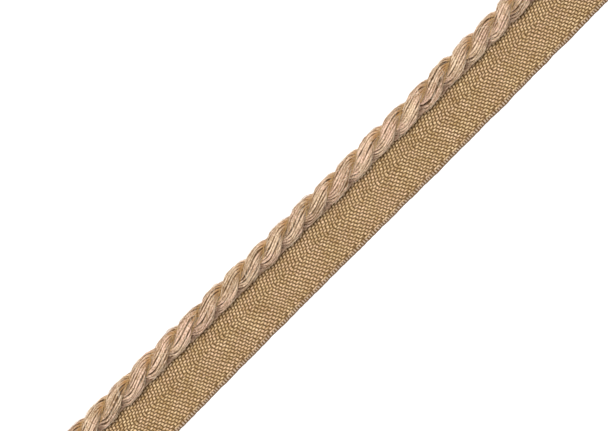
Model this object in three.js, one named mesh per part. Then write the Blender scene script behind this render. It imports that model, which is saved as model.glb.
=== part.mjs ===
// A cutting of flanged cord: a two-strand twisted cord sewn along the edge of a herringbone tape.
// Millimetres. +X runs along the trim, +Y points from the tape towards the cord, +Z is up.
// The trim lies flat on its tape, with the origin on the ground below the middle of its box.
import * as THREE from "three";

// Driving sizes
const trimLength = 200;
const cordDiameter = 6.35; // a quarter inch, over the crowns of the strands
const lipWidth = 12.7; // half an inch of tape shows beside the cord
const tapeWidth = 17; // the herringbone turns round on its middle line
const tapeThickness = 1;
const clearance = 0.3; // between any two pieces

// The cord's lay. The strands turn from up towards +Y as they go along +X.
const layLength = 15.72; // one full turn of the pair
const crownAlong = -4.13; // a place where strand_a stands furthest towards +Y
const layWander = { reach: 0.51, wave: 89.3, from: -40.9 }; // how far the crowns stray along the cord
const turnSteps = 20;
const sectionPoints = 12;
const strandSpread = 2.35; // half of a strand's section, measured round the cord
const plumpness = { reach: 0.045, wave: 41.7 }; // how unevenly the strands are filled

// The trim doesn't lie quite straight.
const cordBow = { rest: 0.19, reach: 0.34, wave: 212, from: 27.4 };
const lipWaver = { rest: 0.05, reach: 0.13, wave: 119, from: -84.8 };
const cutSpread = { reach: 0.4, length: 14 }; // the weave opens towards its two cut ends
const tapeSteps = 40;
const edgeRound = 0.3;
const boxShift = -0.071; // brings the middle of the box over the origin

const cordRadius = cordDiameter / 2;
const overallWidth = lipWidth + cordDiameter;
const fullest = cordRadius * (1 + plumpness.reach);
const cordAxisY = overallWidth / 2 - cordRadius + boxShift;
const cordAxisZ = tapeThickness + clearance + fullest;
const outerEdgeY = -overallWidth / 2 + boxShift;
const strandDepth = (cordRadius - clearance / 2) / 2; // half of its section, measured out from the cord's axis

// A soft swing about nothing, with its crest at wave.from.
function swing(wave, along) {
  return wave.reach * Math.cos((2 * Math.PI * (along - (wave.from ?? 0))) / wave.wave);
}

// How far the cord, and the tape's inner edge with it, lies from its straight line.
function bowAt(along) {
  return cordBow.rest - swing(cordBow, along);
}

function spreadAt(along) {
  const share = 1 - (trimLength / 2 - Math.abs(along)) / cutSpread.length;
  return cutSpread.reach * Math.max(0, share) ** 2;
}

function outerEdgeAt(along) {
  return outerEdgeY - lipWaver.rest - swing(lipWaver, along) - spreadAt(along);
}

function innerEdgeAt(along) {
  return outerEdgeY + tapeWidth + bowAt(along) + spreadAt(along);
}

// The line where the lip's open face ends, just clear of the cord.
function seamLineAt(along) {
  return cordAxisY + bowAt(along) - fullest - clearance;
}

// The angle from straight up to a strand's middle, where the first strand crowns at crownAlong.
function layAngle(along) {
  const steady = along - crownAlong - swing(layWander, along);
  return Math.PI / 2 + (2 * Math.PI * steady) / layLength;
}

// A strand's section at one place along the cord: an oval beside the cord's axis, flattest towards the other strand.
function strandSection(along, phase) {
  const lay = layAngle(along) + phase;
  const plump = 1 + swing({ ...plumpness, from: phase * 6 }, along);
  const depth = strandDepth * plump;
  const spread = strandSpread * plump;
  const middle = clearance / 2 + depth;
  const ring = [];
  for (let i = 0; i < sectionPoints; i++) {
    const turn = (2 * Math.PI * i) / sectionPoints;
    const out = middle + depth * Math.cos(turn);
    const round = spread * Math.sin(turn);
    const y = out * Math.sin(lay) + round * Math.cos(lay);
    const z = out * Math.cos(lay) - round * Math.sin(lay);
    ring.push(new THREE.Vector3(along, cordAxisY + bowAt(along) + y, cordAxisZ + z));
  }
  return ring;
}

// The tape's section: a flat strip with softened edges.
function tapeSection(along) {
  const outer = outerEdgeAt(along);
  const inner = innerEdgeAt(along);
  const low = tapeThickness * 0.3;
  const high = tapeThickness * 0.7;
  const corners = [
    [outer + edgeRound, 0],
    [outer, low],
    [outer, high],
    [outer + edgeRound, tapeThickness],
    [seamLineAt(along), tapeThickness],
    [inner - edgeRound, tapeThickness],
    [inner, high],
    [inner, low],
    [inner - edgeRound, 0],
  ];
  return corners.map(([y, z]) => new THREE.Vector3(along, y, z));
}

// Joins rings of points into one closed skin with flat ends. The rings run along +X and turn the same way.
function skin(rings) {
  const count = rings[0].length;
  const index = [];
  for (let r = 0; r + 1 < rings.length; r++) {
    for (let i = 0; i < count; i++) {
      const here = r * count + i;
      const next = r * count + ((i + 1) % count);
      index.push(here, here + count, next);
      index.push(next, here + count, next + count);
    }
  }
  const last = (rings.length - 1) * count;
  for (let i = 1; i + 1 < count; i++) {
    index.push(0, i, i + 1);
    index.push(last, last + i + 1, last + i);
  }
  const geometry = new THREE.BufferGeometry().setFromPoints(rings.flat());
  geometry.setIndex(index);
  geometry.computeVertexNormals();
  return geometry;
}

// Rings at even steps from one cut end to the other.
function ringsAlong(steps, sectionAt) {
  const rings = [];
  for (let i = 0; i <= steps; i++) rings.push(sectionAt(trimLength * (i / steps - 0.5)));
  return rings;
}

function makeStrand(name, phase, material) {
  const steps = Math.round((trimLength / layLength) * turnSteps);
  const geometry = skin(ringsAlong(steps, (along) => strandSection(along, phase)));
  const mesh = new THREE.Mesh(geometry, material);
  mesh.name = name;
  return mesh;
}

function makeTape(material) {
  const mesh = new THREE.Mesh(skin(ringsAlong(tapeSteps, tapeSection)), material);
  mesh.name = "tape";
  return mesh;
}

const cordYarn = new THREE.MeshStandardMaterial({ color: 0xbb9d7d, roughness: 0.9, metalness: 0 });
const tapeYarn = new THREE.MeshStandardMaterial({ color: 0xb3916b, roughness: 0.88, metalness: 0 });

const trim = new THREE.Group();
trim.add(makeTape(tapeYarn));
trim.add(makeStrand("strand_a", 0, cordYarn));
trim.add(makeStrand("strand_b", Math.PI, cordYarn));

export default trim;
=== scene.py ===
"""Looks for a cutting of flanged cord: two strands of slubby yarn, twisted to the left and sewn along the
edge of a herringbone tape. Metres, in the frame of the solids: +X along the trim, +Y from the tape to the
cord, +Z up."""

import math

import bpy
import numpy as np
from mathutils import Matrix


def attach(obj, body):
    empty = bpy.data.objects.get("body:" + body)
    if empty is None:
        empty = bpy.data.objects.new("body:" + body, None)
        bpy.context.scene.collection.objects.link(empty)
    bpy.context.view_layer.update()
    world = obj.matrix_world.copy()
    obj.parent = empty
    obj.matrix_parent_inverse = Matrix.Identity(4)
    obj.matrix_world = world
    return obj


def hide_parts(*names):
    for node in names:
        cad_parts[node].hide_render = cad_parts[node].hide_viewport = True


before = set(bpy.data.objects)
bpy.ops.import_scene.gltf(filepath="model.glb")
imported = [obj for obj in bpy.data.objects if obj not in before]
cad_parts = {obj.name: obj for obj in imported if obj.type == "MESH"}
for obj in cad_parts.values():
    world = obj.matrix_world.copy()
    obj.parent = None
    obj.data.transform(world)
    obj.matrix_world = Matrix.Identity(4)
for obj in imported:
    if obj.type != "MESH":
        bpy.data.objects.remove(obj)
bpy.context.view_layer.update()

MM = 0.001
FULL_TURN = 2 * math.pi

# The trim, with the same sizes as its solids
TRIM_LENGTH = 200 * MM
CORD_DIAMETER = 6.35 * MM
LIP_WIDTH = 12.7 * MM
TAPE_WIDTH = 17 * MM
TAPE_THICKNESS = 1 * MM
CLEARANCE = 0.3 * MM
LAY_LENGTH = 15.72 * MM
CROWN_ALONG = -4.13 * MM  # a place where strand_a stands furthest towards +Y
STRAND_SPREAD = 2.35 * MM  # half of a strand's section, measured round the cord
PLUMPNESS = 0.045  # how unevenly the strands are filled
PLUMP_WAVE = 41.7 * MM
PLUMP_SHIFT = 6  # millimetres along the trim for each radian of a strand's phase
BOX_SHIFT = -0.071 * MM  # brings the middle of the solids' box over the origin
CORD_RADIUS = CORD_DIAMETER / 2
OVERALL_WIDTH = LIP_WIDTH + CORD_DIAMETER
CORD_AXIS_Y = OVERALL_WIDTH / 2 - CORD_RADIUS + BOX_SHIFT
CORD_AXIS_Z = TAPE_THICKNESS + CLEARANCE + CORD_RADIUS * (1 + PLUMPNESS)
OUTER_EDGE_Y = -OVERALL_WIDTH / 2 + BOX_SHIFT
STRAND_DEPTH = (CORD_RADIUS - CLEARANCE / 2) / 2
STRAND_MIDDLE = CLEARANCE / 2 + STRAND_DEPTH
STRAND_PHASES = {"strand_a": 0, "strand_b": math.pi}

# How the trim swings from its straight lines: reach, wave, and where a crest lies
CORD_BOW = (0.34 * MM, 212 * MM, 27.4 * MM)
CORD_BOW_REST = 0.19 * MM
LAY_WANDER = (0.51 * MM, 89.3 * MM, -40.9 * MM)
LIP_WAVER = (0.13 * MM, 119 * MM, -84.8 * MM)
LIP_WAVER_REST = 0.05 * MM
CUT_SPREAD = 0.4 * MM  # how far the tape opens on each side at its cut ends
CUT_SPREAD_LENGTH = 14 * MM

# How an uneven line or surface is made: a sum of sine waves
WANDER_WAVES = 7
WANDER_SPREAD = (0.6, 1.5)
WANDER_PEAK = 3  # their sum mostly stays below this

# The cord's yarns
YARNS_ROUND = 14
YARN_RADIUS = 0.37 * MM
YARN_STEP = 0.6 * MM
YARN_ROUNDNESS = 2
YARN_SIDES = 8  # what that roundness gives
YARN_TRAVEL = -0.78  # how far a yarn moves round its strand for each metre along the cord
OVAL_STEPS = 361
HEART_YARNS = 6  # laid round one more in the middle of each strand
HEART_SHARE = 0.47  # how far out they lie, where 1 is just inside the strand's skin
HEART_MIDDLE_SWELL = 0.6
HEART_EVERY = 3  # they show only at the cut ends, so they have every third point alone
OVERRUN = 3 * MM  # yarns are made this much too long at both ends, then cut square
ALONG_CORD = np.arange(-TRIM_LENGTH / 2 - OVERRUN, TRIM_LENGTH / 2 + OVERRUN, YARN_STEP)

# How uneven they are: a sway is its reach and its wave
YARN_STRAY = 0.06  # from its even place, in yarns
YARN_SWAY = (0.012, 30 * MM)  # round the strand
YARN_LIFT = 0.94
YARN_LIFT_SWAY = (0.08, 14 * MM)
YARN_SWELL = (0.78, 1.04)
YARN_SLUBS = (0.08, 11 * MM)
SWELL_LIMITS = (0.6, 1.04)

# How the cord lies on the tape, and how dark the painted shade in its hollows and grooves is
SETTLE_ROUNDS = 4
FREE_SIDE_EASE = 0.28 * MM  # how far the cord's yarns are drawn in on the side away from the tape
TAPE_PRESS = 0.3 * MM  # how far the stitches pull them down to the tape
GROOVE_TOP = 0.98  # a groove's painted shade begins here, as a share of the cord's radius
GROOVE_FADE = 0.3
CROWN_FOOT = 0.7  # where a yarn starts to rise out of the painted shade of its hollows, as a share of its strand's section
CROWN_RISE = 0.28
CROWN_BY_HEIGHT = 0.45
CROWN_BY_FACING = 0.55
TAPE_SIDE_GROOVE_SHADE = 0.4  # how much more painted shade darkens the grooves on the tape side
CUT_TONE = 0.72  # how pale a cut yarn's end is kept, clear of the painted hollow shade, on the scale that runs from a hollow to a crown
CUT_THRESHOLD = 1e-7
CUT_REACH = 0.01 * MM
SMOOTH_ANGLE = math.radians(60)

# Loose fibres on the strands
FIBRE_RADIUS = 0.036 * MM
FIBRE_POINTS = 6
FIBRE_SWELL = (0.7, 1.3)
CURL_STARTS = (0, 6)
FUZZ_HAIRS = 1800  # on each strand
FUZZ_LENGTH = (1.2, 4.5)  # millimetres
FUZZ_CROSSING = (0.3, 0.06)  # how far round its strand a fibre strays, for one half of them and the other
FUZZ_CURL = 0.01
FUZZ_CURL_PACE = (3, 9)
FUZZ_PROUD = 0.02 * MM
FUZZ_LIFT = (0, 0.3)  # millimetres
FUZZ_TAPER_START = 0.12
FUZZ_TAPER_SPAN = 0.8
FUZZ_TIP = 0.3

# Tangled fibres in the cord's grooves, under it and beside it. A turn is the mean and the spread of the
# angle from straight up, in degrees, and inmost is in millimetres from the cord's axis.
FLUFF_HAIRS = 2100
FLUFF_UNDER_SHARE = 0.4
FLUFF_UNDER = {"turn": (-180, 18), "inmost": 2.5}
FLUFF_BESIDE = {"turn": (-85, 25), "inmost": 2.1}
FLUFF_SPARE_GROOVES = 4  # fluff under the cord starts half a turn back, so it needs more of them
FLUFF_ALONG = 1.1
FLUFF_ROUND = 0.35
FLUFF_CURL = 0.1
FLUFF_CURL_PACE = 3
FLUFF_DEPTH = 1.05
FLUFF_ARCH = 0.2
FLUFF_TILT = 0.2
FLUFF_TIP = 0.4
# Painted shade: a fluff hair is paler the further it stands out of the groove, so the deep ones are dark.
FLUFF_OUTER_TONE = 0.6
FLUFF_TONE_SPREAD = 0.25

# Sewing thread in the grooves. The reaches are millimetres from the cord's axis.
THREADS = 3  # in each groove
THREAD_RADIUS = 0.05 * MM
THREAD_HIGH_TURN = math.radians(50)  # where it lies highest, on the free side
THREAD_SWAY = (0.3, 7 * MM)
THREAD_LIFT_SWAY = (0.08 * MM, 5 * MM)
THREAD_REACH = 1.35
THREAD_RISE = 0.7
THREAD_DIVE = 2
THREAD_DIVE_POWER = 6
THREAD_STRAY = 0.2

# The tape's weave, counted in the photograph
ENDS = 39
SELVEDGE_ENDS = 2
END_PITCH = TAPE_WIDTH / ENDS
PICK_PITCH = 0.7527 * MM
LAST_PICK = math.ceil(TRIM_LENGTH / 2 / PICK_PITCH) + 1  # just past the cut, counted from the middle
REPEAT_PICKS = 4
WARP_SECTION = (0.205 * MM, 0.19 * MM)  # half of a yarn's width and thickness
WEFT_SECTION = (0.315 * MM, 0.2 * MM)
SECTION_CORNERS = 6
WARP_CRIMP = 0.3 * MM
WEFT_CRIMP = 0.28 * MM
WARP_SHOULDER = 0.42  # how high a float already is over its first and last crossing
WEFT_SHOULDER = 0.38
WARP_LEAN = 0.055 * MM  # how far a float is pushed aside at its two ends
WEFT_LEAN = 0.055 * MM
WEFT_SWELL = (0.9, 1.04)
LOOP_WIDTH = 0.66  # a pick's share of its own width where it turns round the tape's edge
LOOP_FADE = (0.5 * MM, 1.4 * MM)  # from the edge to where it has its full width
HAIRPIN_HEIGHT = 0.25 * MM
HAIRPIN_SHOULDER = 0.8
HAIRPIN_START = 0.1 * MM
HAIRPIN_RUN = 0.6 * MM
HAIRPIN_TURNS = (90, 50, 0, -50, -90)
HAIRPIN_DEGREES_A_PICK = 400
SELVEDGE_REACH = 1.15 * MM
SELVEDGE_FADE = 0.4 * MM
DIVE_SHARE = 0.6  # how far a hollow's painted shade follows the yarn's own dive, and not its round side
# A dark sheet inside the tape, painted shade where the weave leaves holes
GROUND_STEPS = (100, 4)
GROUND_SHORT = 0.4 * MM
GROUND_THICKNESS = 0.2 * MM

# How uneven the weave is: reach, wave and seed
STRAY_ALONG = ((0.075 * MM, 2.4 * MM, 11), (0.2 * MM, 15 * MM, 12))
STRAY_ACROSS = ((0.045 * MM, 2 * MM, 13), (0.06 * MM, 7 * MM, 15))
STRAY_IN_HEIGHT = ((0.08, 1.3 * MM, 14),)

# The view in the photograph
PHOTO_WIDTH = 608
PHOTO_SCALE = 0.2468 * MM  # for each pixel
PHOTO_CENTRE = (-5.92 * MM, 6.07 * MM)
TRIM_SLOPE = math.radians(45)
LENS = 200
SENSOR = 36

# In the materials
TONE_SHIFT = 97  # parts the fibre patterns of two yarns by their tones
MIDDLE_TONE = 0.5
COLOUR_MIX_INPUTS = (6, 7)  # a Mix node's sockets when it mixes colours
COLOUR_MIX_OUTPUT = 2
CLOUD_TONE = 0.8


# Where things lie along the trim

def swing(reach, wave, crest, along):
    """A soft swing about nothing."""
    return reach * np.cos(FULL_TURN * (along - crest) / wave)


def bow_at(along):
    """How far the cord, and the tape's inner edge with it, lies from its straight line."""
    return CORD_BOW_REST - swing(*CORD_BOW, along)


def lay_wander_at(along):
    """How far the cord's crowns stray along it."""
    return swing(*LAY_WANDER, along)


def spread_at(along):
    share = 1 - (TRIM_LENGTH / 2 - np.abs(along)) / CUT_SPREAD_LENGTH
    return CUT_SPREAD * np.clip(share, 0, 1) ** 2


def outer_edge_at(along):
    return OUTER_EDGE_Y - LIP_WAVER_REST - swing(*LIP_WAVER, along) - spread_at(along)


def inner_edge_at(along):
    return OUTER_EDGE_Y + TAPE_WIDTH + bow_at(along) + spread_at(along)


def plumpness_at(along, phase):
    return 1 + swing(PLUMPNESS, PLUMP_WAVE, phase * PLUMP_SHIFT * MM, along)


def unevenness(points, wave, seed):
    """A smooth wander at each point, mostly between -1 and 1, with waves of about that length."""
    picker = np.random.default_rng(seed)
    total = np.zeros(len(points))
    for _ in range(WANDER_WAVES):
        direction = picker.normal(size=points.shape[1])
        direction *= FULL_TURN / wave * picker.uniform(*WANDER_SPREAD) / np.linalg.norm(direction)
        total += np.sin(points @ direction + picker.uniform(0, FULL_TURN))
    return total / WANDER_PEAK


def sway_along(along, sway, seed):
    reach, wave = sway
    return reach * unevenness(along.reshape(-1, 1), wave, seed)


def stray(points, strays):
    return sum(reach * unevenness(points, wave, seed) for reach, wave, seed in strays)


# Small modelling steps

def pick(piece):
    bpy.ops.object.select_all(action="DESELECT")
    piece.select_set(True)
    bpy.context.view_layer.objects.active = piece


def points_of(piece):
    points = np.empty(len(piece.data.vertices) * 3)
    piece.data.vertices.foreach_get("co", points)
    return points.reshape(-1, 3)


def move_points(piece, points):
    piece.data.vertices.foreach_set("co", points.astype(np.float32).ravel())
    piece.data.update()


def mark_points(piece, name, values):
    attribute = piece.data.attributes.new(name, "FLOAT", "POINT")
    attribute.data.foreach_set("value", np.asarray(values, dtype=np.float32))


def oval_profile(half_width, half_thickness):
    """A closed curve that other curves take as their section."""
    curve = bpy.data.curves.new("profile", "CURVE")
    curve.dimensions = "2D"
    spline = curve.splines.new("POLY")
    spline.points.add(SECTION_CORNERS - 1)
    spline.use_cyclic_u = True
    for number, point in enumerate(spline.points):
        turn = -FULL_TURN * (number + 0.5) / SECTION_CORNERS
        point.co = (half_width * math.cos(turn), half_thickness * math.sin(turn), 0, 1)
    profile = bpy.data.objects.new("profile", curve)
    bpy.context.scene.collection.objects.link(profile)
    return profile


def lay_yarns(name, paths, section=None, radius=0, roundness=0, swells=None):
    """Yarns that follow their paths, in one mesh, still open at their ends. They are round, or have an
    oval section of the given half width and half thickness."""
    curve = bpy.data.curves.new(name, "CURVE")
    curve.dimensions = "3D"
    profile = oval_profile(*section) if section else None
    if profile:
        curve.twist_mode = "Z_UP"
        curve.bevel_mode = "OBJECT"
        curve.bevel_object = profile
    else:
        curve.bevel_depth = radius
        curve.bevel_resolution = roundness
    for number, path in enumerate(paths):
        spline = curve.splines.new("POLY")
        spline.points.add(len(path) - 1)
        spline.points.foreach_set("co", np.column_stack([path, np.ones(len(path))]).ravel())
        if swells is not None:
            spline.points.foreach_set("radius", swells[number])
    piece = bpy.data.objects.new(name, curve)
    bpy.context.scene.collection.objects.link(piece)
    pick(piece)
    bpy.ops.object.convert(target="MESH")
    piece = bpy.context.view_layer.objects.active
    if profile:
        bpy.data.objects.remove(profile)
    return piece


def tone_each_yarn(piece, tones, paths):
    """Gives each yarn of the mesh its own tone."""
    sides = len(piece.data.vertices) // sum(len(path) for path in paths)
    mark_points(piece, "tone", np.repeat(tones, [sides * len(path) for path in paths]))


def close_ends(piece):
    """Closes each open end with a face of its own."""
    pick(piece)
    bpy.ops.object.mode_set(mode="EDIT")
    bpy.ops.mesh.select_all(action="SELECT")
    bpy.ops.mesh.fill_holes(sides=0)
    bpy.ops.object.mode_set(mode="OBJECT")


def cut_square(piece):
    """Cuts the piece off square at both ends of the trim and closes the cut yarns, whose ends stay pale,
    free of painted shade.
    """
    pick(piece)
    bpy.ops.object.mode_set(mode="EDIT")
    for side in (-1, 1):
        bpy.ops.mesh.select_all(action="SELECT")
        bpy.ops.mesh.bisect(
            plane_co=(side * TRIM_LENGTH / 2, 0, 0),
            plane_no=(side, 0, 0),
            clear_outer=True,
            threshold=CUT_THRESHOLD,
        )
    bpy.ops.object.mode_set(mode="OBJECT")
    close_ends(piece)
    crown = piece.data.attributes.get("crown")
    if crown:
        values = np.empty(len(piece.data.vertices), dtype=np.float32)
        crown.data.foreach_get("value", values)
        cut = np.abs(points_of(piece)[:, 0]) > TRIM_LENGTH / 2 - CUT_REACH
        values[cut] = np.maximum(values[cut], CUT_TONE)
        crown.data.foreach_set("value", values)


def smooth(piece):
    pick(piece)
    bpy.ops.object.shade_smooth_by_angle(angle=SMOOTH_ANGLE)


def finish(piece, material):
    piece.data.materials.append(material)
    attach(piece, "root")
    return piece


# The cord

def lay_angle(along):
    """The turn from straight up to the first strand's middle, on a cord with an even lay."""
    return math.pi / 2 + FULL_TURN * (along - CROWN_ALONG) / LAY_LENGTH


def yarn_oval():
    """Turn, and length so far, round the oval on which a strand's outer yarns lie."""
    turn = np.linspace(0, FULL_TURN, OVAL_STEPS)
    depth = (STRAND_DEPTH - YARN_RADIUS) * np.cos(turn)
    spread = (STRAND_SPREAD - YARN_RADIUS) * np.sin(turn)
    steps = np.hypot(np.diff(depth), np.diff(spread))
    return turn, np.concatenate([[0], np.cumsum(steps)])


OVAL_TURNS, OVAL_LENGTHS = yarn_oval()


def yarn_path(along, phase, place, inset=YARN_RADIUS, share=1.0):
    """A yarn's line in the strand of that phase. place runs from 0 to 1 round the strand, inset is the
    line's depth under the strand's skin, and share draws it in to the strand's middle."""
    gone_round = (place + YARN_TRAVEL * along / OVAL_LENGTHS[-1]) % 1
    angle = np.interp(gone_round * OVAL_LENGTHS[-1], OVAL_LENGTHS, OVAL_TURNS)
    out = STRAND_MIDDLE + share * (STRAND_DEPTH - inset) * np.cos(angle)
    facing_other_strand = np.clip((STRAND_MIDDLE - out) / STRAND_DEPTH, 0, 1)
    out = out - CLEARANCE / 2 * facing_other_strand  # the strands press on each other
    side = share * (STRAND_SPREAD - inset) * np.sin(angle)
    lay = lay_angle(along) + phase
    y = out * np.sin(lay) + side * np.cos(lay)
    z = out * np.cos(lay) - side * np.sin(lay)
    return np.column_stack([along, y, z])


def groove_path(along, angle, reach):
    """A line round the cord's axis, at that angle from straight up and that far from the axis."""
    return np.column_stack([along, reach * np.sin(angle), reach * np.cos(angle)])


def settle_on_cord(points, phase):
    """Moves points of an evenly laid cord to where the trim's own cord lies."""
    along = points[:, 0]
    for _ in range(SETTLE_ROUNDS):
        along = points[:, 0] + lay_wander_at(along)
    plump = plumpness_at(along, phase)
    eased = points[:, 1] - FREE_SIDE_EASE * np.clip(points[:, 1] / CORD_RADIUS, 0, 1) ** 2
    pressed = points[:, 2] - TAPE_PRESS * np.clip(-points[:, 2] / CORD_RADIUS, 0, 1) ** 2
    y = CORD_AXIS_Y + bow_at(along) + eased * plump
    z = CORD_AXIS_Z + pressed * plump
    return np.column_stack([along, y, z])


def finish_strand(piece, phase, sides=0):
    """Marks, settles and cuts a piece of the cord. sides is the number of points round each of its yarns,
    and fibres, which have no crown of their own, leave it out."""
    points = points_of(piece)
    lay = lay_angle(points[:, 0]) + phase
    out = points[:, 1] * np.sin(lay) + points[:, 2] * np.cos(lay) - STRAND_MIDDLE
    side = points[:, 1] * np.cos(lay) - points[:, 2] * np.sin(lay)
    from_axis = np.hypot(points[:, 1], points[:, 2]) / CORD_RADIUS
    in_groove = np.clip((GROOVE_TOP - from_axis) / GROOVE_FADE, 0, 1)
    towards_free_side = np.cos(np.arctan2(points[:, 1], points[:, 2]) - THREAD_HIGH_TURN)
    # The groove mark is painted warm shade: an ochre tint in the grooves on the cord's free side.
    mark_points(piece, "groove", in_groove * np.clip(towards_free_side, 0, 1) ** 2)
    if sides:
        # The crown mark paints light and shade: a yarn's top and outward face stay pale, and its sides and
        # the hollows between yarns take the painted shade.
        level = np.hypot(out / STRAND_DEPTH, side / STRAND_SPREAD).reshape(-1, sides)
        middle = level.mean(axis=1, keepdims=True)
        facing = (level - middle) / (level.max(axis=1, keepdims=True) - middle)
        height = np.clip((level - CROWN_FOOT) / CROWN_RISE, 0, 1)
        crown = (CROWN_BY_HEIGHT * height + CROWN_BY_FACING * np.clip(facing, 0, 1)).ravel()
        # Painted shade: the grooves on the tape side are darker still.
        dark = TAPE_SIDE_GROOVE_SHADE * in_groove * np.clip(-towards_free_side, 0, 1)
        mark_points(piece, "crown", crown - dark)
    move_points(piece, settle_on_cord(points, phase))
    cut_square(piece)
    smooth(piece)
    return piece


def make_strand(name, phase, seed):
    """A strand's outer yarns, and the few inside it that show where it is cut."""
    picker = np.random.default_rng(seed)
    paths, swells, tones = [], [], []
    for number in range(YARNS_ROUND):
        own = seed * 100 + number
        place = (number + picker.normal(0, YARN_STRAY)) / YARNS_ROUND
        place = place + sway_along(ALONG_CORD, YARN_SWAY, own)
        lift = YARN_LIFT + sway_along(ALONG_CORD, YARN_LIFT_SWAY, own + 20)
        paths.append(yarn_path(ALONG_CORD, phase, place, share=np.minimum(lift, 1)))
        swell = picker.uniform(*YARN_SWELL) * (1 + sway_along(ALONG_CORD, YARN_SLUBS, own + 40))
        swells.append(np.clip(swell, *SWELL_LIMITS))
        tones.append(picker.uniform(0, 1))
    hidden = ALONG_CORD[::HEART_EVERY]
    for number in range(HEART_YARNS + 1):
        share = HEART_SHARE if number < HEART_YARNS else 0
        paths.append(yarn_path(hidden, phase, number / HEART_YARNS, share=share))
        swells.append(np.full(len(hidden), 1 if share else HEART_MIDDLE_SWELL))
        tones.append(picker.uniform(0, 1))
    strand = lay_yarns(name, paths, radius=YARN_RADIUS, roundness=YARN_ROUNDNESS, swells=swells)
    tone_each_yarn(strand, tones, paths)
    return finish_strand(strand, phase, YARN_SIDES)


def make_fibres(name, paths, swells, tones, phase):
    fibres = lay_yarns(name, paths, radius=FIBRE_RADIUS, swells=swells)
    tone_each_yarn(fibres, tones, paths)
    close_ends(fibres)
    return finish_strand(fibres, phase)


def make_fuzz(name, phase, seed):
    """Loose fibres that lie along the strand's yarns and lift off at one end or both."""
    picker = np.random.default_rng(seed)
    paths, swells = [], []
    steps = np.linspace(0, 1, FIBRE_POINTS)
    taper = np.clip(np.sin(np.pi * (FUZZ_TAPER_START + FUZZ_TAPER_SPAN * steps)), FUZZ_TIP, 1)
    for _ in range(FUZZ_HAIRS):
        start = picker.uniform(-TRIM_LENGTH / 2, TRIM_LENGTH / 2)
        length = picker.uniform(*FUZZ_LENGTH) * MM
        crossing = FUZZ_CROSSING[0] if picker.uniform() < 0.5 else FUZZ_CROSSING[1]
        place = picker.uniform(0, 1) + steps * picker.normal(0, crossing)
        curl = np.sin(steps * picker.uniform(*FUZZ_CURL_PACE) + picker.uniform(*CURL_STARTS))
        lift = picker.uniform(*FUZZ_LIFT) * MM * abs(picker.normal())
        bend = (2 * steps - 1) ** 2 if picker.uniform() < 0.5 else steps ** 2
        inset = -FUZZ_PROUD - lift * bend
        paths.append(yarn_path(start + steps * length, phase, place + FUZZ_CURL * curl, inset=inset))
        swells.append(taper * picker.uniform(*FIBRE_SWELL))
    return make_fibres(name, paths, swells, picker.uniform(0, 1, FUZZ_HAIRS), phase)


def make_fluff(name, seed):
    """Tangled fibres in the grooves, on the cord's tape side and between the cord and the tape."""
    picker = np.random.default_rng(seed)
    grooves = math.ceil(TRIM_LENGTH / LAY_LENGTH)
    paths, swells, tones = [], [], []
    steps = np.linspace(-1, 1, FIBRE_POINTS)
    for _ in range(FLUFF_HAIRS):
        kind = FLUFF_UNDER if picker.uniform() < FLUFF_UNDER_SHARE else FLUFF_BESIDE
        turn = math.radians(picker.normal(*kind["turn"]))
        groove = picker.integers(1 - grooves, grooves + FLUFF_SPARE_GROOVES)
        start = CROWN_ALONG + (turn + math.pi * (groove - 1)) / FULL_TURN * LAY_LENGTH
        along = start + steps * picker.normal(0, FLUFF_ALONG) * MM
        angle = turn + steps * picker.normal(0, FLUFF_ROUND)
        angle = angle + FLUFF_CURL * np.sin(steps * FLUFF_CURL_PACE + picker.uniform(*CURL_STARTS))
        height = picker.uniform(0, 1)
        reach = kind["inmost"] + FLUFF_DEPTH * height - FLUFF_ARCH * steps ** 2
        reach = (reach + picker.normal(0, FLUFF_TILT) * steps) * MM
        paths.append(groove_path(along, angle, reach))
        swells.append(np.clip(1 - steps ** 2, FLUFF_TIP, 1) * picker.uniform(*FIBRE_SWELL))
        # Painted shade: deeper hairs take darker tones
        tones.append(FLUFF_OUTER_TONE * height ** 2 + picker.uniform(0, FLUFF_TONE_SPREAD))
    return make_fibres(name, paths, swells, tones, 0)


def make_groove_threads(name, seed):
    """Sewing thread laid in both grooves, high on the cord's free side and down into the tape below it."""
    picker = np.random.default_rng(seed)
    paths = []
    for number in range(2 * THREADS):
        phase = math.pi / 2 + math.pi * (number % 2)
        angle = lay_angle(ALONG_CORD) + phase + sway_along(ALONG_CORD, THREAD_SWAY, seed * 50 + number)
        high = np.maximum(0, np.cos(angle - THREAD_HIGH_TURN))
        low = np.maximum(0, -np.cos(angle)) ** THREAD_DIVE_POWER
        reach = THREAD_REACH + THREAD_RISE * high + THREAD_DIVE * low
        reach = (reach + picker.uniform(-THREAD_STRAY, THREAD_STRAY)) * MM
        reach = reach + sway_along(ALONG_CORD, THREAD_LIFT_SWAY, seed * 60 + number)
        paths.append(groove_path(ALONG_CORD, angle, reach))
    thread = lay_yarns(name, paths, radius=THREAD_RADIUS)
    tone_each_yarn(thread, picker.uniform(0, 1, len(paths)), paths)
    return finish_strand(thread, 0)


# The tape

def twill_step(pick_number, end):
    """Place in the repeat: an end lies over a pick at steps 0 and 1. The twill turns on the middle end."""
    return (pick_number - min(end, ENDS - 1 - end)) % REPEAT_PICKS


def lifted(pick_number, end):
    """1 where the warp end lies over the pick, -1 where it lies under, 0 inside a selvedge's hairpins."""
    if end < SELVEDGE_ENDS or end >= ENDS - SELVEDGE_ENDS:
        return 0
    if end in (SELVEDGE_ENDS, ENDS - SELVEDGE_ENDS - 1):
        return -1 if pick_number % REPEAT_PICKS == 0 else 1
    return 1 if twill_step(pick_number, end) in (0, 1) else -1


def leant(pick_number, end):
    """Which way the yarns at a crossing are pushed aside by the floats next to them."""
    if end <= SELVEDGE_ENDS or end >= ENDS - SELVEDGE_ENDS - 1:
        return 0
    return 1 if twill_step(pick_number, end) in (1, 2) else -1


def crimp(height, after, shoulder):
    """Heights of a yarn at a crossing's middle and halfway to the next one. A float rises to its middle."""
    return shoulder * height, (height + after) / 2


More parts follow.
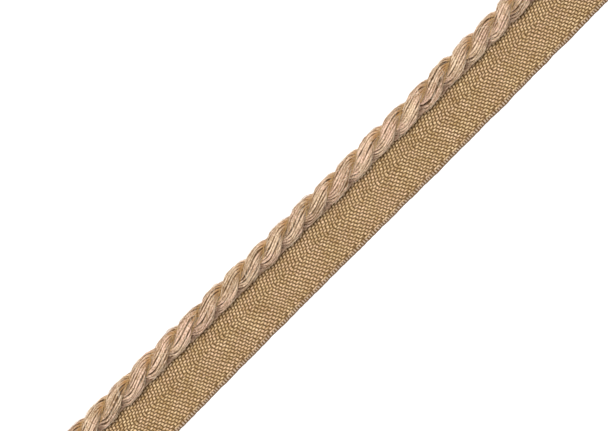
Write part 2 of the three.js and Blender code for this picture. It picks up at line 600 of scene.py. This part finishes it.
def warp_path(end, picks):
    """The end's line along the whole tape."""
    points = []
    middle = (end + 0.5) * END_PITCH
    lean = WARP_LEAN * np.sign(end - ENDS // 2)
    for number in picks:
        here, between = crimp(lifted(number, end), lifted(number + 1, end), WARP_SHOULDER)
        push, push_after = lean * leant(number, end), lean * leant(number + 1, end)
        points.append((number * PICK_PITCH, middle + push, WARP_CRIMP * here))
        halfway = (number + 0.5) * PICK_PITCH
        points.append((halfway, middle + (push + push_after) / 2, WARP_CRIMP * between))
    return np.array(points)


def hairpin(edge, outward, along):
    """A pick's turn round the edge of the tape, from over the last ends to under them."""
    inner = edge - outward * SELVEDGE_ENDS * END_PITCH
    top = HAIRPIN_HEIGHT
    points = [
        (along, inner + outward * HAIRPIN_START, top * HAIRPIN_SHOULDER),
        (along, edge - outward * HAIRPIN_RUN, top),
    ]
    for turn in HAIRPIN_TURNS:
        angle = math.radians(turn)
        across = edge - outward * (WEFT_SECTION[1] + top * (1 - math.cos(angle)))
        advance = PICK_PITCH * (HAIRPIN_TURNS[0] - turn) / HAIRPIN_DEGREES_A_PICK
        points.append((along + advance, across, top * math.sin(angle)))
    points.append((along + PICK_PITCH / 2, inner, -top))
    return points


def weft_path(pick_number):
    """The pick's line across the tape."""
    along = pick_number * PICK_PITCH
    path = list(reversed(hairpin(0, -1, along)))
    for end in range(SELVEDGE_ENDS, ENDS - SELVEDGE_ENDS):
        here, between = crimp(-lifted(pick_number, end), -lifted(pick_number, end + 1), WEFT_SHOULDER)
        push, push_after = WEFT_LEAN * leant(pick_number, end), WEFT_LEAN * leant(pick_number, end + 1)
        path.append((along - push, (end + 0.5) * END_PITCH, WEFT_CRIMP * here))
        path.append((along - (push + push_after) / 2, (end + 1) * END_PITCH, WEFT_CRIMP * between))
    path.pop()
    path += hairpin(TAPE_WIDTH, 1, along)
    return np.array(path)


def settle_on_tape(points):
    """Moves points of an even weave to where the trim's own tape lies on the ground, a little unevenly."""
    along, across = points[:, 0], points[:, 1] / TAPE_WIDTH
    outer, inner = outer_edge_at(along), inner_edge_at(along)
    flat = points[:, :2]
    x = along + stray(flat, STRAY_ALONG)
    y = outer + (inner - outer) * across + stray(flat, STRAY_ACROSS)
    z = TAPE_THICKNESS / 2 + points[:, 2] * (1 + stray(flat, STRAY_IN_HEIGHT))
    return np.column_stack([x, y, np.maximum(z, 0)])


def finish_weave(piece, crimp_height):
    """Marks, closes, settles and cuts the warp or the weft."""
    points = points_of(piece)
    # The crown mark paints shade on the weave: dark where a yarn dives into the tape, pale at its surface.
    rings = np.abs(points[:, 2].reshape(-1, SECTION_CORNERS).mean(axis=1)) / crimp_height
    dive = np.repeat(rings, SECTION_CORNERS)
    surface = np.abs(points[:, 2]) / (TAPE_THICKNESS / 2)
    mark_points(piece, "crown", DIVE_SHARE * dive + (1 - DIVE_SHARE) * surface)
    from_edge = np.minimum(points[:, 1], TAPE_WIDTH - points[:, 1])
    mark_points(piece, "selvedge", np.clip((SELVEDGE_REACH - from_edge) / SELVEDGE_FADE, 0, 1))
    close_ends(piece)
    move_points(piece, settle_on_tape(points))
    cut_square(piece)
    smooth(piece)
    return piece


def make_warp(name, ends, seed):
    picker = np.random.default_rng(seed)
    picks = np.arange(-LAST_PICK - 1, LAST_PICK + 2)
    paths = [warp_path(end, picks) for end in ends]
    warp = lay_yarns(name, paths, section=WARP_SECTION)
    tone_each_yarn(warp, picker.uniform(0, 1, len(ends)), paths)
    return finish_weave(warp, WARP_CRIMP)


def make_weft(name, picks, seed):
    picker = np.random.default_rng(seed)
    paths = [weft_path(number) for number in picks]
    swells = []
    for path in paths:
        from_edge = np.minimum(path[:, 1], TAPE_WIDTH - path[:, 1])
        swells.append(np.interp(from_edge, LOOP_FADE, (LOOP_WIDTH, 1)) * picker.uniform(*WEFT_SWELL))
    weft = lay_yarns(name, paths, section=WEFT_SECTION, swells=swells)
    tone_each_yarn(weft, picker.uniform(0, 1, len(picks)), paths)
    return finish_weave(weft, WEFT_CRIMP)


def make_shade_sheet():
    """A dark sheet in the middle of the tape: painted shade that closes the weave where two yarns leave a
    hole.
    """
    bpy.ops.object.select_all(action="DESELECT")
    steps_along, steps_across = GROUND_STEPS
    bpy.ops.mesh.primitive_grid_add(x_subdivisions=steps_along, y_subdivisions=steps_across, size=1)
    ground = bpy.context.view_layer.objects.active
    ground.name = "tape_shade_sheet"
    ground.data.name = "tape_shade_sheet"
    points = points_of(ground)
    along = points[:, 0] * (TRIM_LENGTH - GROUND_SHORT)
    inset = WEFT_SECTION[1]
    outer, inner = outer_edge_at(along) + inset, inner_edge_at(along) - inset
    across = outer + (inner - outer) * (points[:, 1] + 0.5)
    move_points(ground, np.column_stack([along, across, np.full(len(points), TAPE_THICKNESS / 2)]))
    solidify = ground.modifiers.new("thickness", "SOLIDIFY")
    solidify.thickness = GROUND_THICKNESS
    solidify.offset = 0
    pick(ground)
    bpy.ops.object.modifier_apply(modifier=solidify.name)
    return ground


# Materials

def new_material(name):
    material = bpy.data.materials.new(name)
    material.use_nodes = True
    return material, material.node_tree.nodes, material.node_tree.links


def set_sockets(node, values):
    for name, value in values.items():
        node.inputs[name].default_value = value
    return node


def read_attribute(nodes, name):
    node = nodes.new("ShaderNodeAttribute")
    node.attribute_name = name
    return node.outputs["Fac"]


def add_noise(nodes, links, place, values):
    """Noise that is read at that place."""
    noise = set_sockets(nodes.new("ShaderNodeTexNoise"), values)
    links.new(place, noise.inputs["Vector"])
    return noise


def add_math(nodes, links, operation, *values):
    """A math node's output. Each value is a number or another node's output."""
    node = nodes.new("ShaderNodeMath")
    node.operation = operation
    for number, value in enumerate(values):
        if isinstance(value, (int, float)):
            node.inputs[number].default_value = value
        else:
            links.new(value, node.inputs[number])
    return node.outputs[0]


def mix_colours(nodes, links, share, first, second):
    node = nodes.new("ShaderNodeMix")
    node.data_type = "RGBA"
    node.clamp_factor = True
    links.new(share, node.inputs["Factor"])
    for number, colour in zip(COLOUR_MIX_INPUTS, (first, second)):
        links.new(colour, node.inputs[number])
    return node.outputs[COLOUR_MIX_OUTPUT]


def make_fibre_group():
    """Fine fibres running along a yarn and round it, from the yarn's own UV map: U along it, V round it.
    Length is the yarn's own in millimetres, and Twists is how often its fibres turn round it."""
    group = bpy.data.node_groups.new("yarn_fibres", "ShaderNodeTree")
    socket = group.interface.new_socket
    for name in ("Length", "Twists", "Stretch", "Fineness"):
        socket(name, in_out="INPUT", socket_type="NodeSocketFloat")
    socket("Fibres", in_out="OUTPUT", socket_type="NodeSocketFloat")
    nodes, links = group.nodes, group.links
    inputs = nodes.new("NodeGroupInput")
    outputs = nodes.new("NodeGroupOutput")
    uv = nodes.new("ShaderNodeTexCoord")
    parts = nodes.new("ShaderNodeSeparateXYZ")
    links.new(uv.outputs["UV"], parts.inputs[0])

    def math_node(operation, *values):
        return add_math(nodes, links, operation, *values)

    along = math_node("MULTIPLY", parts.outputs[0], inputs.outputs["Length"])
    twist = math_node("MULTIPLY", parts.outputs[0], inputs.outputs["Twists"])
    turn = math_node("MULTIPLY", math_node("ADD", parts.outputs[1], twist), FULL_TURN)
    fineness = inputs.outputs["Fineness"]
    place = nodes.new("ShaderNodeCombineXYZ")
    links.new(math_node("MULTIPLY", along, inputs.outputs["Stretch"]), place.inputs[0])
    links.new(math_node("MULTIPLY", math_node("COSINE", turn), fineness), place.inputs[1])
    links.new(math_node("MULTIPLY", math_node("SINE", turn), fineness), place.inputs[2])
    shift = nodes.new("ShaderNodeCombineXYZ")
    links.new(math_node("MULTIPLY", read_attribute(nodes, "tone"), TONE_SHIFT), shift.inputs[0])
    apart = nodes.new("ShaderNodeVectorMath")
    apart.operation = "ADD"
    links.new(place.outputs[0], apart.inputs[0])
    links.new(shift.outputs[0], apart.inputs[1])
    noise = add_noise(nodes, links, apart.outputs[0], {"Scale": 1, "Detail": 3, "Roughness": 0.6})
    links.new(noise.outputs["Fac"], outputs.inputs["Fibres"])
    return group


def make_dye_and_shade_group():
    """A yarn's colour: two dyes, a pale and a dark one, mixed by yarn, patch, speck and fibre, then the
    Groove colour where Grooved asks for it, and last a near-black brown painted shade in its hollows."""
    group = bpy.data.node_groups.new("yarn_dye_and_shade", "ShaderNodeTree")
    socket = group.interface.new_socket
    for name in ("Pale", "Rosy", "Dark", "Hollow Shade", "Groove"):
        socket(name, in_out="INPUT", socket_type="NodeSocketColor")
    shares = ("By Yarn", "By Patch", "By Speck", "By Fibre")
    for name in ("Fibres", "Hollow", "Grooved", "Patch Scale", "Speck Scale", *shares):
        socket(name, in_out="INPUT", socket_type="NodeSocketFloat")
    socket("Colour", in_out="OUTPUT", socket_type="NodeSocketColor")
    nodes, links = group.nodes, group.links
    inputs = nodes.new("NodeGroupInput").outputs
    outputs = nodes.new("NodeGroupOutput")
    place = nodes.new("ShaderNodeTexCoord").outputs["Object"]
    patches = add_noise(nodes, links, place, {"Detail": 3})
    links.new(inputs["Patch Scale"], patches.inputs["Scale"])
    specks = add_noise(nodes, links, place, {"Detail": 1})
    links.new(inputs["Speck Scale"], specks.inputs["Scale"])
    total = MIDDLE_TONE
    tone = read_attribute(nodes, "tone")
    sources = (tone, patches.outputs["Fac"], specks.outputs["Fac"], inputs["Fibres"])
    for source, share in zip(sources, shares):
        centred = add_math(nodes, links, "SUBTRACT", source, MIDDLE_TONE)
        total = add_math(nodes, links, "MULTIPLY_ADD", centred, inputs[share], total)
    blush = set_sockets(nodes.new("ShaderNodeMapRange"), {"From Min": 0.4, "From Max": 0.6})
    parted = nodes.new("ShaderNodeSeparateColor")
    links.new(patches.outputs["Color"], parted.inputs[0])
    links.new(parted.outputs[1], blush.inputs["Value"])
    pale = mix_colours(nodes, links, blush.outputs[0], inputs["Pale"], inputs["Rosy"])
    dyed = mix_colours(nodes, links, total, inputs["Dark"], pale)
    # Where Grooved asks for it: painted warm shade in the cord's grooves, and the tape selvedge's colour
    grooved = mix_colours(nodes, links, inputs["Grooved"], dyed, inputs["Groove"])
    # Painted shade in the hollows, as strong as Hollow asks
    hollowed = mix_colours(nodes, links, inputs["Hollow"], grooved, inputs["Hollow Shade"])
    links.new(hollowed, outputs.inputs["Colour"])
    return group


def place_group(nodes, group, values):
    node = nodes.new("ShaderNodeGroup")
    node.node_tree = group
    return set_sockets(node, values)


def make_yarn_material(name, fibre_group, dye_and_shade_group, fibres, dyes_and_shades, mottle, shades, bump, sheen):
    """A spun yarn. Each shade drives one of the colour group's tones, most of them painted shade: at the
    full value of its attribute it has its whole strength, and at the gone value nothing is left of it."""
    material, nodes, links = new_material(name)
    shader = set_sockets(nodes["Principled BSDF"], {
        "Roughness": 0.85,
        "Specular IOR Level": 0.25,
        "Sheen Weight": sheen,
        "Sheen Roughness": 0.5,
    })
    fibre = place_group(nodes, fibre_group, fibres)
    dye_and_shade = place_group(nodes, dye_and_shade_group, {**dyes_and_shades, **mottle})
    links.new(fibre.outputs["Fibres"], dye_and_shade.inputs["Fibres"])
    for shade in shades:
        spread = set_sockets(nodes.new("ShaderNodeMapRange"), {
            "From Min": shade["full"],
            "From Max": shade["gone"],
            "To Min": shade["strength"],
            "To Max": 0,
        })
        links.new(read_attribute(nodes, shade["attribute"]), spread.inputs["Value"])
        links.new(spread.outputs[0], dye_and_shade.inputs[shade["tone"]])
    links.new(dye_and_shade.outputs["Colour"], shader.inputs["Base Color"])
    relief = set_sockets(nodes.new("ShaderNodeBump"), bump)
    links.new(fibre.outputs["Fibres"], relief.inputs["Height"])
    links.new(relief.outputs["Normal"], shader.inputs["Normal"])
    return material


def colour_by(nodes, links, source, shader, stops):
    """Colours the shader on a ramp between two stops, each a position and a colour."""
    ramp = nodes.new("ShaderNodeValToRGB")
    for element, (position, colour) in zip(ramp.color_ramp.elements, stops):
        element.position = position
        element.color = (*colour, 1)
    links.new(source, ramp.inputs["Fac"])
    links.new(ramp.outputs["Color"], shader.inputs["Base Color"])


def make_hair_material(name, dark, pale, roughness):
    """Single fibres or threads, each with its own tone between the dark and the pale colour."""
    material, nodes, links = new_material(name)
    shader = set_sockets(nodes["Principled BSDF"], {"Roughness": roughness, "Specular IOR Level": 0.2})
    colour_by(nodes, links, read_attribute(nodes, "tone"), shader, ((0, dark), (1, pale)))
    return material


def make_plain_material(name, colour, roughness):
    """A plain surface with a faint cloud in its tone."""
    material, nodes, links = new_material(name)
    shader = set_sockets(nodes["Principled BSDF"], {"Roughness": roughness, "Specular IOR Level": 0.2})
    place = nodes.new("ShaderNodeTexCoord").outputs["Object"]
    cloud = add_noise(nodes, links, place, {"Scale": 900})
    clouded = [CLOUD_TONE * part for part in colour]
    colour_by(nodes, links, cloud.outputs["Fac"], shader, ((0.3, clouded), (0.7, colour)))
    return material


# The studio

def make_camera():
    data = bpy.data.cameras.new("camera")
    data.lens = LENS
    data.sensor_width = SENSOR
    distance = PHOTO_WIDTH * PHOTO_SCALE * LENS / SENSOR
    data.clip_start = 0.01
    data.clip_end = 10
    camera = bpy.data.objects.new("camera", data)
    camera.location = (*PHOTO_CENTRE, distance + TAPE_THICKNESS)
    camera.rotation_euler = (0, 0, -TRIM_SLOPE)
    bpy.context.scene.collection.objects.link(camera)
    bpy.context.scene.camera = camera


def add_lamp(name, energy, softness, lean):
    """A distant lamp. A negative lean, in degrees, brings its light from the cord's free side."""
    sun = bpy.data.lights.new(name, "SUN")
    sun.energy = energy
    sun.angle = math.radians(softness)
    lamp = bpy.data.objects.new(name, sun)
    lamp.rotation_euler = (math.radians(lean), 0, 0)
    bpy.context.scene.collection.objects.link(lamp)


def make_studio():
    world = bpy.data.worlds.new("studio")
    world.use_nodes = True
    set_sockets(world.node_tree.nodes["Background"], {"Color": (1, 1, 1, 1), "Strength": 0.27})
    bpy.context.scene.world = world
    add_lamp("window", energy=3.62, softness=14, lean=-9)
    add_lamp("pale_wall", energy=0.28, softness=60, lean=30)
    bpy.ops.object.select_all(action="DESELECT")
    bpy.ops.mesh.primitive_plane_add(size=6, location=(0, 0, 0))
    floor = bpy.context.view_layer.objects.active
    floor.name = "floor"
    material, nodes, _ = new_material("pale_floor")
    set_sockets(nodes["Principled BSDF"], {
        "Base Color": (0.93, 0.93, 0.93, 1),
        "Roughness": 0.9,
        "Specular IOR Level": 0,
    })
    floor.data.materials.append(material)
    view = bpy.context.scene.view_settings
    view.view_transform = "Standard"
    view.look = "None"
    view.exposure = 0
    view.gamma = 1


make_camera()
make_studio()

fibre_group = make_fibre_group()
dye_and_shade_group = make_dye_and_shade_group()
cord_yarn = make_yarn_material(
    "cord_yarn",
    fibre_group,
    dye_and_shade_group,
    fibres={"Length": 206, "Twists": 35, "Stretch": 1.1, "Fineness": 1.5},
    dyes_and_shades={
        "Pale": (0.84, 0.64, 0.445, 1),
        "Rosy": (0.84, 0.58, 0.445, 1),
        "Dark": (0.33, 0.2, 0.105, 1),
        # The last two are painted shade: a near-black brown in the yarns' hollows and an ochre in the
        # grooves on the free side.
        "Hollow Shade": (0.12, 0.062, 0.025, 1),
        "Groove": (0.45, 0.23, 0.07, 1),
    },
    mottle={
        "By Yarn": 0.4, "By Patch": 0.8, "By Speck": 2.2, "By Fibre": 2.8,
        "Patch Scale": 160, "Speck Scale": 2300,
    },
    shades=(
        # Painted shade: the hollows by the crown mark, and the free side's grooves by the groove mark.
        {"tone": "Hollow", "attribute": "crown", "full": 0.42, "gone": 0.76, "strength": 1},
        {"tone": "Grooved", "attribute": "groove", "full": 1, "gone": 0, "strength": 0.9},
    ),
    bump={"Strength": 0.8, "Distance": 0.2 * MM},
    sheen=0.04,
)
tape_look = {
    "dyes_and_shades": {
        "Pale": (0.87, 0.65, 0.38, 1),
        "Rosy": (0.87, 0.62, 0.4, 1),
        "Dark": (0.45, 0.28, 0.112, 1),
        # Painted shade for the weave's hollows
        "Hollow Shade": (0.13, 0.067, 0.022, 1),
        "Groove": (0.4, 0.31, 0.245, 1),
    },
    "mottle": {
        "By Yarn": 0.3, "By Patch": 0.8, "By Speck": 1.5, "By Fibre": 0.8,
        "Patch Scale": 260, "Speck Scale": 1500,
    },
    "shades": (
        # Painted shade in the weave's hollows, by the crown mark
        {"tone": "Hollow", "attribute": "crown", "full": 0.27, "gone": 0.84, "strength": 1},
        {"tone": "Grooved", "attribute": "selvedge", "full": 1, "gone": 0, "strength": 0.8},
    ),
    "bump": {"Strength": 0.5, "Distance": 0.05 * MM},
    "sheen": 0.1,
}
warp_fibres = {"Length": 204, "Twists": 120, "Stretch": 1.5, "Fineness": 1}
weft_fibres = {"Length": 20, "Twists": 14, "Stretch": 1.5, "Fineness": 1}
warp_yarn = make_yarn_material("warp_yarn", fibre_group, dye_and_shade_group, fibres=warp_fibres, **tape_look)
weft_yarn = make_yarn_material("weft_yarn", fibre_group, dye_and_shade_group, fibres=weft_fibres, **tape_look)
groove_thread = make_hair_material("groove_thread", (0.42, 0.25, 0.1), (0.6, 0.4, 0.18), roughness=0.6)
# Painted shade for the holes in the weave
ground_shade = make_plain_material("ground_shade", (0.1, 0.055, 0.02), roughness=0.95)
fuzz_fibre = make_hair_material("fuzz_fibre", (0.3, 0.18, 0.09), (0.95, 0.78, 0.58), roughness=0.8)
# The fluff is real; its dark end is painted shade for the deepest hairs.
fluff_fibre = make_hair_material("fluff_fibre", (0.09, 0.035, 0.012), (0.8, 0.56, 0.4), roughness=0.9)

for number, (node, phase) in enumerate(STRAND_PHASES.items()):
    strand = finish(make_strand(node + "_yarns", phase, seed=3 + number), cord_yarn)
    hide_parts(node)
    finish(make_fuzz(node + "_fuzz", phase, seed=31 + number), fuzz_fibre)

finish(make_fluff("groove_fluff", seed=61), fluff_fibre)
finish(make_groove_threads("groove_threads", seed=41), groove_thread)

ground = finish(make_shade_sheet(), ground_shade)
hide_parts("tape")
half = ENDS // 2
weave = [
    finish(make_warp("tape_warp_outer", range(half), seed=51), warp_yarn),
    finish(make_warp("tape_warp_inner", range(half, ENDS), seed=52), warp_yarn),
    finish(make_weft("tape_weft_left", range(-LAST_PICK, 0), seed=53), weft_yarn),
    finish(make_weft("tape_weft_right", range(0, LAST_PICK + 1), seed=54), weft_yarn),
]
